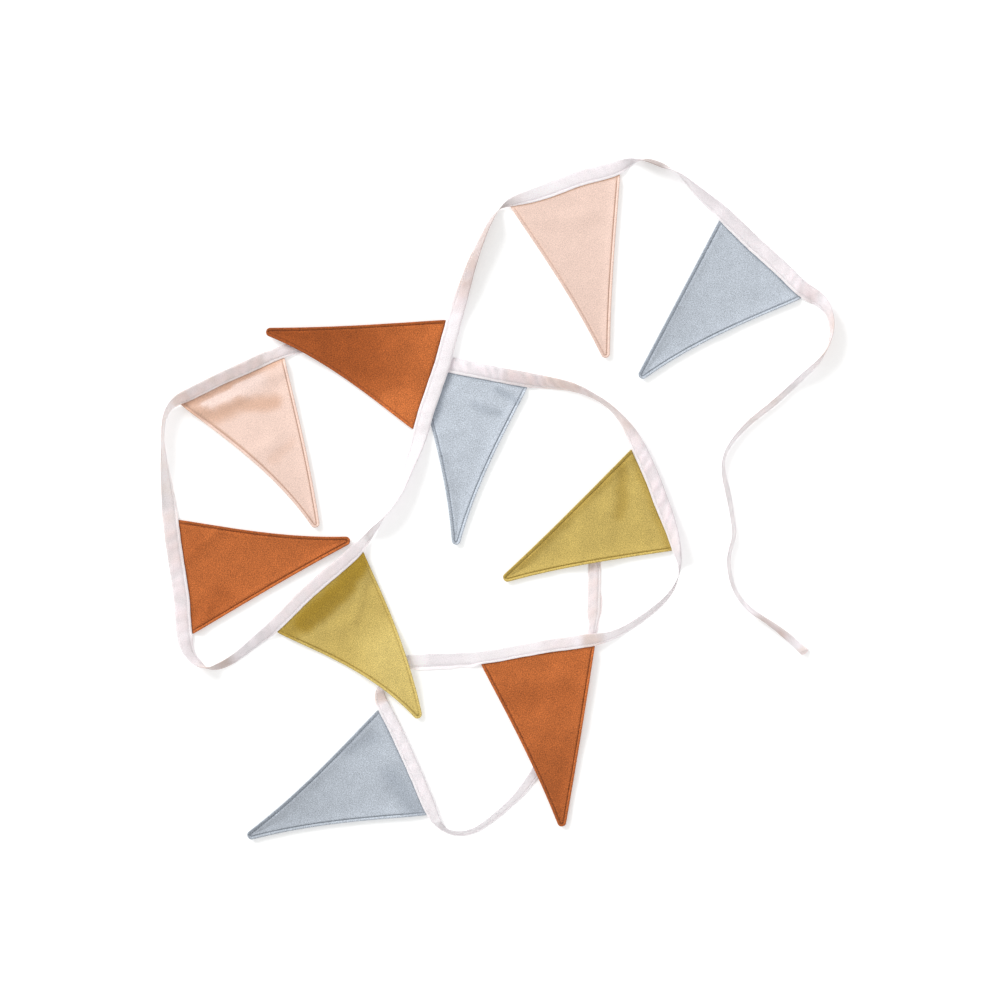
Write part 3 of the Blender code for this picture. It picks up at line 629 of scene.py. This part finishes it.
def make_tape(tape):
    """The folded strip as one closed mesh, open along its lower edge where the pennants go in."""
    lengths = tape.cuts(TAPE_STEP)
    side_depths = np.array([row[0] for row in TAPE_SECTION])
    depths = np.concatenate((side_depths, [TAPE_WIDTH], side_depths[::-1]))
    sides = np.concatenate((np.ones(len(side_depths)), [0.0], -np.ones(len(side_depths))))
    outer = np.concatenate((np.ones(len(depths), bool), np.zeros(len(depths), bool)))
    depths = np.concatenate((depths, depths[::-1]))
    sides = np.concatenate((sides, sides[::-1]))
    shape = (len(lengths), len(depths))
    length, depth = np.broadcast_to(lengths[:, None], shape), np.broadcast_to(depths, shape)
    side = np.broadcast_to(sides, shape)
    is_outer = np.broadcast_to(outer, shape)
    up, _ = tape_point(tape, length, depth, 1.0, is_outer)
    low, _ = tape_point(tape, length, depth, -1.0, is_outer)
    fold, _ = tape_point(tape, length, depth, 0.0, is_outer)
    points = np.where((side > 0)[..., None], up, np.where((side < 0)[..., None], low, fold))
    points[..., 2] = np.maximum(points[..., 2], FLOOR_GAP)
    uv = np.stack([length, TAPE_WIDTH + side * (TAPE_WIDTH - depth)], axis=-1)
    # Painted shade along the stitched groove, and a painted highlight on the rim outside it
    line = np.exp(-((depth - STITCH_DEPTH) / TAPE_SEAM_WIDTH) ** 2)
    painted_shade_lines = (line - TAPE_RIM_PAINTED_HIGHLIGHT * (depth < TAPE_RIM)) * is_outer
    half = len(depths) // 2
    faces = [grid_faces(*shape, around=True)]
    k = np.arange(half - 1)
    cap = np.stack([k + 1, k, 2 * half - 1 - k, 2 * half - 2 - k], axis=-1)
    faces += [cap, cap[:, ::-1] + (shape[0] - 1) * shape[1]]
    # Painted shade that turns the colour towards that of painted shade, and painted light and shade that
    # change the tone
    painted_shade, tone = np.zeros(shape), np.zeros(shape)
    for name, x, y, reach, strength, lighter in TAPE_PAINTED_SHADE_AND_LIGHT:
        near = smooth_step(1.5 - np.abs(length - tape.foot(name, (x, y))) / reach)
        painted_shade = np.maximum(painted_shade, strength * near)
        tone = tone + lighter * near
    painted_shade = np.clip(painted_shade * (1.0 + 0.3 * unevenness(length, depth, 14.0, 61)), 0.0, 1.0)
    marks = {"painted_shade_lines": painted_shade_lines, "fade": tone, "painted_shade": painted_shade}
    return make_object("binding_tape", points, np.concatenate(faces), cloth("tape"), uv, marks)


def stitch_row(points, normals):
    """Small rounded stitches along a line of points, each laid on the surface there."""
    along = np.concatenate(([0.0], np.cumsum(np.linalg.norm(np.diff(points, axis=0), axis=1))))
    count = max(1, int(along[-1] / STITCH_PITCH))
    middles = (np.arange(count) + 0.5) * along[-1] / count

    def read(values, at):
        return np.stack([np.interp(at, along, values[:, k]) for k in range(3)], axis=-1)
    centre = read(points, middles)
    ahead = unit(read(points, middles + 0.6) - read(points, middles - 0.6))
    up = unit(read(normals, middles))
    side = unit(np.cross(up, ahead))
    ring = np.arange(6) * math.pi / 3.0
    length, width, height = (size / 2.0 for size in STITCH_SIZE)
    shell = [(-length, 0.0, 0.0)]
    for place, girth in ((-0.72, 0.75), (0.0, 1.0), (0.72, 0.75)):
        shell += [(place * length, girth * width * math.cos(a), girth * height * math.sin(a)) for a in ring]
    shell.append((length, 0.0, 0.0))
    shell = np.array(shell)
    placed = (centre[:, None] + ahead[:, None] * shell[:, 0, None] + side[:, None] * shell[:, 1, None]
              + up[:, None] * (shell[:, 2, None] + 0.1))
    near = np.arange(6)
    after = (near + 1) % 6
    start, end = np.full(6, 0), np.full(6, len(shell) - 1)
    faces = np.concatenate([np.stack([start, start, after + 1, near + 1], -1), grid_faces(3, 6, 1, True),
                            np.stack([near + 13, after + 13, end, end], -1)])
    placed[..., 2] = np.maximum(placed[..., 2], FLOOR_GAP / 2.0)
    return placed.reshape(-1, 3), (faces[None] + len(shell) * np.arange(count)[:, None, None]).reshape(-1, 4)


def make_stitches(name, rows, colour):
    """All the stitches of one piece, from rows of points and normals, as one object."""
    points, faces, used = [], [], 0
    for line, normals in rows:
        made, quads = stitch_row(line, normals)
        points.append(made)
        faces.append(quads + used)
        used += len(made)
    return make_object(name, np.concatenate(points), np.concatenate(faces), thread(colour))


def segment_distance(points, line):
    """The distance from each point to a line of points."""
    best = np.full(points.shape[:-1], np.inf)
    for first, last in zip(line[:-1], line[1:]):
        way = last - first
        share = np.clip(((points - first) * way).sum(axis=-1) / max(way @ way, 1e-9), 0.0, 1.0)
        best = np.minimum(best, np.linalg.norm(points - first - share[..., None] * way, axis=-1))
    return best


def rows_of(table, number):
    """A pennant's rows of a table, without its number."""
    return [row[1:] for row in table if row[0] == number]


def away_from(xy, line):
    """The distance from each point to a line of points in a table."""
    return segment_distance(xy, np.array(line) - MIDDLE)


def from_edge_to_edge(turn, first, last):
    """A value that changes about the middle from the first long edge's to the second's."""
    return first + (last - first) * smooth_step((turn - 0.35) / 0.3)


def ground_height(number, xy):
    """How high a pennant's underside lies off the floor: ridges, soft folds and unevenness."""
    total = np.zeros(xy.shape[:-1])
    for first, last, height, core, fall in rows_of(RIDGES, number):
        total = total + (height * smooth_step(1.0 - (away_from(xy, (first, last)) - core) / fall)) ** 4
    soft = UNEVEN * unevenness(xy[..., 0], xy[..., 1], UNEVEN_WAVE, 60 + number)
    for crest, height, width in rows_of(FOLDS, number):
        soft = soft + height * np.exp(-(away_from(xy, crest) / width) ** 2)
    soft = (soft + np.sqrt(soft ** 2 + 0.04)) / 2.0
    return total ** 0.25 + soft


def at_least(values, least):
    """The values raised to a least one. Those below nothing are raised by the whole of it."""
    return values + np.maximum(0.0, least - np.maximum(values, 0.0))


def edge_bow(share, turn, first_bow, last_bow):
    """How far the bows of the two long edges move a point sideways, most of it past the half way."""
    past = share ** 1.25
    return 4.0 * past * (1.0 - past) * (last_bow * turn - first_bow * (1.0 - turn))


class Pennant:
    """A pennant's flat shape, spread between the tape's mouth and its rounded tip."""

    def __init__(self, tape, number):
        self.tape, self.number = tape, number
        self.colour, _, _, tip, self.first_bow, self.last_bow = PENNANTS[number - 1]
        start, end = tape.slots[number - 1]
        self.start, self.end = start + PENNANT_INSET, end - PENNANT_INSET
        self.tip = np.array(tip) - MIDDLE
        mouth, across = self.mouth(np.array([0.0, 1.0]))
        corners = (mouth - across * STRAIGHT_OUT)[:, :2]
        self.crown = corners.mean(axis=0)
        self.reach = np.linalg.norm(self.tip - self.crown)
        self.axis = (self.tip - self.crown) / self.reach
        self.sideways = np.array([-self.axis[1], self.axis[0]])
        self.sideways *= np.sign(np.dot(corners[1] - corners[0], self.sideways))
        bow = edge_bow(0.85, 0.5, self.first_bow, self.last_bow)
        near_tip = self.crown + (self.tip - self.crown) * 0.85 + self.sideways * bow
        self.inwards = unit(near_tip - self.tip)
        self.tip_side = np.array([-self.inwards[1], self.inwards[0]])
        self.tip_side *= np.sign(np.dot(self.tip_side, self.sideways))

    def mouth(self, turn):
        """The tape's open edge at a share of the way along the slot, and its way across."""
        middle, across, _, half_width, _ = self.tape.section(self.start + turn * (self.end - self.start))
        return middle - across * half_width[..., None], across

    def flat(self, turn, share):
        """Where a point lies as seen from above, and the tape's open edge above it."""
        mouth, across = self.mouth(turn)
        top = mouth - across * STRAIGHT_OUT
        angle = math.pi * (turn - 0.5) * 0.8
        goal = (self.tip + self.inwards * TIP_RADIUS - TIP_RADIUS
                * (self.inwards * np.cos(angle)[..., None] - self.tip_side * np.sin(angle)[..., None]))
        bow = edge_bow(share, turn, self.first_bow, self.last_bow)
        xy = top[..., :2] + (goal - top[..., :2]) * share[..., None] + self.sideways * bow[..., None]
        return xy, top, np.linalg.norm(goal - top[..., :2], axis=-1), mouth, across

    def places(self):
        """The turns and shares of the grid, close together near the sewn edges."""
        near = np.array(EDGE_OFFSETS)
        rows = np.concatenate((near, np.arange(near[-1] + 1.0, self.reach - 1.0, ROW_STEP), [self.reach]))
        share = 1.0 - rows[::-1] / self.reach
        first = self.flat(np.zeros(len(share)), share)[0]
        last = self.flat(np.ones(len(share)), share)[0]
        width = np.linalg.norm(last - first, axis=-1)
        scale = np.minimum(1.06, 0.46 * width / near[-1])
        edge = near[None] * (scale / width)[:, None]
        between = np.linspace(0.0, 1.0, INNER_COLUMNS + 2)[1:-1]
        inner = edge[:, -1:] + (1.0 - 2.0 * edge[:, -1:]) * between
        turn = np.concatenate((edge, inner, 1.0 - edge[:, ::-1]), axis=1)
        return turn, np.broadcast_to(share[:, None], turn.shape)

    def outline(self):
        """The sewn outline: down the first edge, round the tip and up the second."""
        way = np.linspace(0.0, 1.0, 60)
        first = self.flat(np.zeros(60), way)[0]
        round_tip = self.flat(way[1::3], np.ones(20))[0]
        last = self.flat(np.ones(60), way[::-1])[0]
        return np.concatenate((first, round_tip, last))

    def surfaces(self):
        """The middle surface's grid, with half thickness, normals, places on the cloth, depths and turns."""
        turn, share = self.places()
        xy, top, reach, mouth, across = self.flat(turn, share)
        depth = segment_distance(xy, self.outline())
        tucked = smooth_step(share * reach / 5.0)
        half = self.half_thickness(depth, tucked, turn)
        rim = (EDGE_LIFT * np.exp(-(depth / LIFT_REACH) ** 1.5)
               + EDGE_CURL * np.exp(-(depth / CURL_REACH) ** 1.3) * tucked)
        for line, reach_out in rows_of(PRESSED, self.number):
            rim = rim * smooth_step((away_from(xy, line) - reach_out) / 8.0)
        ground = ground_height(self.number, xy) + rim + half
        hold = 1.0 - smooth_step(share * reach / RELAX_LONGER.get(self.number, RELAX))
        height = ground + hold * np.maximum(0.0, top[..., 2] - ground)
        middle = np.concatenate((xy, height[..., None]), axis=-1)
        middle = np.concatenate([mouth[:1] + across[:1] * row for row in TUCK_ROWS] + [middle])
        hidden = (len(TUCK_ROWS), turn.shape[1])
        flat_half = np.full(hidden, PENNANT_THICK / 2.0)
        flat_half[:, (0, -1)] = TUCKED_END
        half = np.concatenate((flat_half, half))
        depth = np.concatenate((np.full(hidden, WELL_INSIDE), depth))
        turn = np.concatenate((np.broadcast_to(turn[:1], hidden), turn))
        normal = unit(np.cross(np.gradient(middle, axis=0), np.gradient(middle, axis=1)))
        normal *= np.sign(normal[..., 2:3])
        offset = middle[..., :2] - self.crown
        uv = np.stack([offset @ self.sideways, offset @ self.axis], axis=-1)
        return middle, half, normal, uv, depth, turn

    def painted_shade(self, xy, turn, depth):
        """How strong the painted shade is, in places and at the rims that face the upper left, where the
        light comes from; below nothing it is painted light.
        """
        total = np.zeros(depth.shape)
        ragged = 1.3 * unevenness(xy[..., 0], xy[..., 1], 17.0, 80)
        for line, core, fall, strength in rows_of(PAINTED_SHADE_AND_LIGHT, self.number):
            away = away_from(xy, line) + ragged
            total = total + (strength * smooth_step(1.0 - (away - core) / fall)) ** 3
        rim = np.exp(-(depth / 2.0) ** 5) * RIM_PAINTED_SHADE[self.colour]
        return at_least(np.cbrt(total), rim * np.clip(1.35 * self.facing(turn) - 0.35, 0.0, 1.0))

    def facing(self, turn):
        """How much the nearer long edge faces the upper left: 1 fully, -1 the other way."""
        ends = []
        for side in (0.0, 1.0):
            corner = self.mouth(np.array([side]))[0][0, :2]
            way = unit(self.tip - corner)
            out = np.array([-way[1], way[0]])
            out *= np.sign(out @ (corner - self.crown))
            ends.append((out @ np.array([-1.0, 1.0])) / math.sqrt(2.0))
        return from_edge_to_edge(turn, *ends)

    def fade(self, uv):
        """How much painted light and shade make the cloth lighter or darker at its places than its colour."""
        top, tip = rows_of(PAINTED_SHADE_TOP_TO_TIP, self.number)[0]
        share = smooth_step(uv[..., 1] / self.reach)
        return top + (tip - top) * share - 1.0

    def seam_shows(self, turn):
        """How clearly the seams show along the nearer long edge."""
        return from_edge_to_edge(turn, *(rows_of(SEAM_SHOWS, self.number) or [(1.0, 1.0)])[0])

    def half_thickness(self, depth, tucked, turn):
        """Half the thickness at a distance from the outline: rounded edge, roll, groove and puff."""
        edge = 1.0 - np.clip(depth / EDGE_ROUND, 0.0, 1.0)
        plain = PENNANT_THICK / 2.0 * np.sqrt(1.0 - edge ** 2) + 0.04
        tucked = tucked * (0.35 + 0.65 * self.seam_shows(turn))
        roll = np.sin(math.pi * np.clip(depth / STITCH_DEPTH, 0.0, 1.0) ** 0.75) ** 1.2
        groove = np.exp(-((depth - STITCH_DEPTH) / GROOVE_WIDTH) ** 2)
        past = np.maximum(0.0, depth - STITCH_DEPTH)
        puff = BORDER_PUFF / 2.0 * np.exp(-(past / PUFF_REACH) ** 1.5) * (depth > STITCH_DEPTH)
        relief = ROLL_HEIGHT * roll / 2.0 - GROOVE_DEPTH * groove / 2.0 + puff
        return np.maximum(0.05, plain + tucked * relief)


def make_pennant(tape, number):
    """One pennant as a closed thick sheet, and the stitches on its upper side."""
    pennant = Pennant(tape, number)
    middle, half, normal, uv, depth, turn = pennant.surfaces()
    rows, columns = half.shape
    top = middle + normal * half[..., None]
    low = middle - normal * half[..., None]
    low[..., 2] = np.maximum(low[..., 2], FLOOR_GAP)
    points = np.concatenate((top.reshape(-1, 3), low.reshape(-1, 3)))
    count = rows * columns
    faces = [grid_faces(rows, columns), grid_faces(rows, columns, count)[:, ::-1]]
    index = np.arange(count).reshape(rows, columns)
    rim = np.concatenate((index[0], index[1:, -1], index[-1, -2::-1], index[-2:0:-1, 0]))
    after = np.roll(rim, -1)
    faces.append(np.stack([after, rim, rim + count, after + count], axis=-1))
    # Painted light and shade from top to tip, and painted highlights along the seams by how each edge faces
    # the light
    facing = pennant.facing(turn)
    fade = pennant.fade(uv)
    for lit, (place, width, strength) in zip((facing, -facing), PAINTED_SEAM_HIGHLIGHTS):
        fade = fade + strength * np.clip(lit + 0.3, 0.0, 1.0) * np.exp(-((depth - place) / width) ** 2)
    # Painted shade along the stitched groove, and painted shade where the pennant comes out of the tape
    painted_shade_lines = pennant.seam_shows(turn) * np.exp(-((depth - STITCH_DEPTH) / SEAM_WIDTH) ** 2)
    opening = slice(len(TUCK_ROWS) - 2, len(TUCK_ROWS) + 1)
    painted_shade_lines[opening] = np.maximum(painted_shade_lines[opening], np.array(CONTACT_SHADE)[:, None])
    # The painted shade lines also turn the colour towards that of painted shade
    marks = {"painted_shade_lines": painted_shade_lines, "fade": fade,
             "painted_shade": at_least(pennant.painted_shade(middle[..., :2], turn, depth), 0.8 * painted_shade_lines)}
    marks = {name: np.tile(values.ravel(), 2) for name, values in marks.items()}
    obj = make_object(f"pennant_cloth_{number:02d}", points, np.concatenate(faces), cloth(pennant.colour),
                      np.concatenate((uv.reshape(-1, 2), uv.reshape(-1, 2))), marks)
    at, open_row = EDGE_OFFSETS.index(STITCH_DEPTH), len(TUCK_ROWS) + 1
    path = ([(i, at) for i in range(open_row, rows - 1 - at)]
            + [(rows - 1 - at, j) for j in range(at, columns - at)]
            + [(i, columns - 1 - at) for i in range(rows - 2 - at, open_row - 1, -1)])
    i, j = np.array(path).T
    stitches = make_stitches(f"pennant_stitches_{number:02d}", [(top[i, j], normal[i, j])], pennant.colour)
    return obj, stitches


def make_tape_stitches(tape):
    """The row of stitches along the tape's open edge, on both of its faces."""
    lengths = np.arange(6.0, tape.length - 2.0, 1.3)
    depth = np.full(len(lengths), STITCH_DEPTH)
    outer = np.ones(len(lengths), bool)
    rows = []
    for side in (1.0, -1.0):
        points, face = tape_point(tape, lengths, depth, side, outer)
        rows.append((points, face * side))
    return make_stitches("binding_stitches", rows, "tape")


def thread(colour):
    """Sewing thread in one colour, with the fine twist of its plies."""
    name = "thread_" + colour
    if name in bpy.data.materials:
        return bpy.data.materials[name]
    material, tree, shader = new_material(name)
    place = tree.nodes.new("ShaderNodeTexCoord")
    twist = tree.nodes.new("ShaderNodeTexNoise")
    twist.inputs["Scale"].default_value = 900.0
    tree.links.new(place.outputs["Object"], twist.inputs["Vector"])
    base = COLOURS[colour][1]
    ramp = tree.nodes.new("ShaderNodeValToRGB")
    ramp.color_ramp.elements[0].color = (*(0.82 * c for c in base), 1.0)
    ramp.color_ramp.elements[1].color = (*(1.12 * c for c in base), 1.0)
    tree.links.new(twist.outputs["Fac"], ramp.inputs["Fac"])
    tree.links.new(ramp.outputs["Color"], shader.inputs["Base Color"])
    shader.inputs["Roughness"].default_value = 0.7
    return material


def new_material(name):
    """A new material with its node tree and its shader."""
    material = bpy.data.materials.new(name)
    material.use_nodes = True
    tree = material.node_tree
    return material, tree, tree.nodes["Principled BSDF"]


def cloth(colour):
    """Cotton cloth in one colour: plain weave, slubs in the yarn, soft unevenness, painted shade along the
    stitch lines, and painted light and shade from its mesh's marks.
    """
    name = "woven_" + colour
    if name in bpy.data.materials:
        return bpy.data.materials[name]
    fine = colour == "tape"
    material, tree, shader = new_material(name)
    nodes, links = tree.nodes, tree.links

    def math_node(kind, *values):
        node = nodes.new("ShaderNodeMath")
        node.operation = kind
        for socket, value in zip(node.inputs, values):
            if isinstance(value, (int, float)):
                socket.default_value = value
            else:
                links.new(value, socket)
        return node.outputs[0]

    def noise(vector, scale, detail, stretch=(1.0, 1.0, 1.0)):
        mapping = nodes.new("ShaderNodeMapping")
        mapping.inputs["Scale"].default_value = tuple(scale * s for s in stretch)
        links.new(vector, mapping.inputs["Vector"])
        node = nodes.new("ShaderNodeTexNoise")
        node.inputs["Scale"].default_value = 1.0
        node.inputs["Detail"].default_value = detail
        links.new(mapping.outputs[0], node.inputs["Vector"])
        return node.outputs["Fac"]

    def mark(name):
        node = nodes.new("ShaderNodeAttribute")
        node.attribute_name = name
        return node.outputs["Fac"]

    uv = nodes.new("ShaderNodeUVMap")
    uv.uv_map = "cloth"
    place = uv.outputs[0]
    split = nodes.new("ShaderNodeSeparateXYZ")
    links.new(place, split.inputs[0])
    pitch = 0.4 if fine else 0.62
    wave_u = math_node("SINE", math_node("MULTIPLY", split.outputs[0], math.pi / pitch))
    wave_v = math_node("SINE", math_node("MULTIPLY", split.outputs[1], math.pi / pitch))
    weave = math_node("MULTIPLY", wave_u, wave_v)
    slub_u = noise(place, 1.0, 2.0, (0.4, 1.3, 1.0))
    slub_v = noise(place, 1.0, 2.0, (1.3, 0.4, 1.0))
    grain = noise(place, 1.15, 1.0)
    cloud = noise(place, 0.055, 2.0)
    patch = noise(place, 0.16, 3.0)
    yarn = math_node("MULTIPLY", math_node("ADD", slub_u, slub_v), 0.5)

    shows = GRAIN_SHOWS[colour]
    tone = 1.0
    for texture, strength in ((grain, 3.6), (yarn, 2.2), (cloud, 0.55), (patch, 0.5)):
        tone = math_node("MULTIPLY_ADD", math_node("SUBTRACT", texture, 0.5), shows * strength, tone)
    tone = math_node("MULTIPLY_ADD", weave, shows * 0.22, tone)
    # Painted shade lines darken the tone, and the tape rim's painted highlight lightens it
    tone = math_node("MULTIPLY_ADD", mark("painted_shade_lines"), SEAM_SHADE[colour], tone)
    # Painted light and shade lighten or darken the tone
    tone = math_node("MULTIPLY", tone, math_node("ADD", mark("fade"), 1.0))

    # The colour turns towards that of painted shade by the painted shade mark, and away from it where light
    # is painted
    base = nodes.new("ShaderNodeMix")
    base.data_type = "RGBA"
    base.clamp_factor = False
    base.inputs[6].default_value = (*COLOURS[colour][0], 1.0)
    base.inputs[7].default_value = (*COLOURS[colour][2], 1.0)
    links.new(mark("painted_shade"), base.inputs[0])
    scaled = nodes.new("ShaderNodeVectorMath")
    scaled.operation = "SCALE"
    links.new(base.outputs[2], scaled.inputs[0])
    links.new(tone, scaled.inputs["Scale"])
    links.new(scaled.outputs[0], shader.inputs["Base Color"])

    bump = nodes.new("ShaderNodeBump")
    bump.inputs["Strength"].default_value = 0.35 if fine else 0.6
    bump.inputs["Distance"].default_value = 0.00012 if fine else 0.00022
    height = math_node("MULTIPLY_ADD", yarn, 1.0, math_node("MULTIPLY", weave, 0.35))
    height = math_node("MULTIPLY_ADD", grain, 1.2, height)
    links.new(height, bump.inputs["Height"])
    links.new(bump.outputs[0], shader.inputs["Normal"])
    links.new(math_node("MULTIPLY_ADD", grain, 0.14, 0.8), shader.inputs["Roughness"])
    shader.inputs["Specular IOR Level"].default_value = 0.25
    shader.inputs["Sheen Weight"].default_value = 0.3 if fine else 0.1
    shader.inputs["Sheen Roughness"].default_value = 0.5
    if fine:
        shader.inputs["Subsurface Weight"].default_value = 0.6
        shader.inputs["Subsurface Radius"].default_value = (1.0, 0.9, 0.9)
        shader.inputs["Subsurface Scale"].default_value = 0.002
    return material


def make_stage():
    """A plain white floor, a soft key light from the upper left, and pale light from all round."""
    data = bpy.data.meshes.new("floor")
    far, under = 8.0, -0.0002
    corners = [(-far, -far, under), (far, -far, under), (far, far, under), (-far, far, under)]
    data.from_pydata(corners, [], [(0, 1, 2, 3)])
    floor = bpy.data.objects.new("floor", data)
    material, _, shader = new_material("white_floor")
    shader.inputs["Base Color"].default_value = (0.87, 0.89, 0.895, 1.0)
    shader.inputs["Emission Color"].default_value = (1.0, 1.0, 1.0, 1.0)
    shader.inputs["Emission Strength"].default_value = 0.2
    shader.inputs["Roughness"].default_value = 0.95
    shader.inputs["Specular IOR Level"].default_value = 0.0
    data.materials.append(material)
    bpy.context.scene.collection.objects.link(floor)

    world = bpy.data.worlds.new("studio")
    bpy.context.scene.world = world
    world.use_nodes = True
    sky = world.node_tree.nodes["Background"]
    sky.inputs["Color"].default_value = (1.0, 0.975, 0.96, 1.0)
    sky.inputs["Strength"].default_value = 0.775

    for name, energy, spread, elevation, azimuth in LIGHTS:
        sun = bpy.data.lights.new(name, "SUN")
        sun.energy = energy
        sun.angle = math.radians(spread)
        light = bpy.data.objects.new(name, sun)
        light.rotation_euler = (math.radians(90.0 - elevation), 0.0, math.radians(azimuth + 90.0))
        bpy.context.scene.collection.objects.link(light)
    bpy.context.scene.view_settings.view_transform = "Standard"


def make_camera():
    """A camera straight above, far off, whose frame is the photograph's."""
    data = bpy.data.cameras.new("camera")
    data.sensor_width = 36.0
    data.lens = data.sensor_width * CAMERA_HEIGHT / VIEW_WIDTH
    data.clip_end = 100.0
    camera = bpy.data.objects.new("camera", data)
    scale, centre = VIEW_WIDTH / PICTURE_SIZE, PICTURE_SIZE / 2.0
    camera.location = ((centre - ZERO_PIXEL[0]) * scale - MIDDLE[0] * MM,
                       (ZERO_PIXEL[1] - centre) * scale - MIDDLE[1] * MM, CAMERA_HEIGHT)
    bpy.context.scene.collection.objects.link(camera)
    bpy.context.scene.camera = camera


def main():
    """The tape and the pennants in their places, the floor and light, and the camera."""
    tape = Tape()
    strip = make_tape(tape)
    tape_stitches = make_tape_stitches(tape)
    for piece in (strip, tape_stitches):
        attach(piece, "root")
    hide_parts("tape")
    for number in range(1, len(PENNANTS) + 1):
        piece, stitches = make_pennant(tape, number)
        for part in (piece, stitches):
            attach(part, "root")
        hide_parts(f"pennant_{number:02d}")
    make_stage()
    make_camera()


main()
